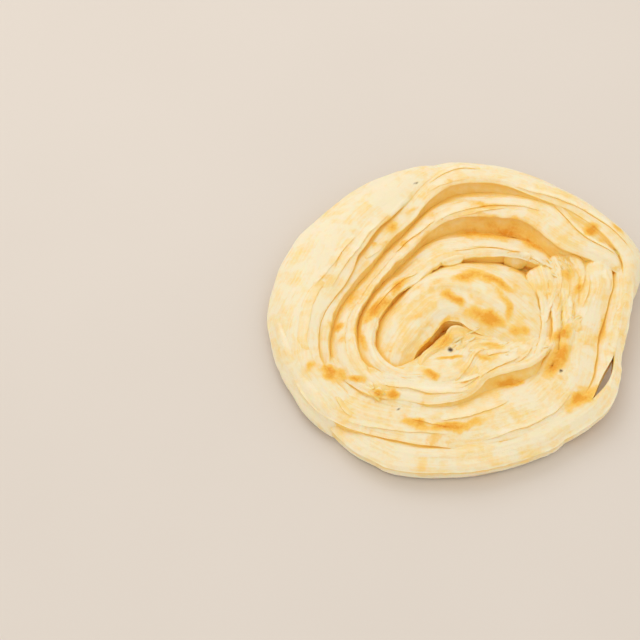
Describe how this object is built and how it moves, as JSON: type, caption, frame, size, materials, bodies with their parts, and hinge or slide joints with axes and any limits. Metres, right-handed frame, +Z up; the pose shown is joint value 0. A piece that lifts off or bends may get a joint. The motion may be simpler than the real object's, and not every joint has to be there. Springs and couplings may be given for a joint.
{
  "type": "paratha flatbread",
  "caption": "Round, layered, pan-fried flatbread: a coil of flaky folds opened like petals, to lie on a plate or in a basket.",
  "frame": {"origin": "middle of the underside, where the bread rests", "axes": "+Z up through the bread's thickness, +X across it, -Y towards its near side"},
  "size_m": [0.1878, 0.1846, 0.0234],
  "materials": {
    "crust": "fried wheat dough, soft satin with a trace of butter, pale cream with golden and light brown spots"
  },
  "bodies": {
    "root": {"paratha": "crust"}
  },
  "joints": []
}
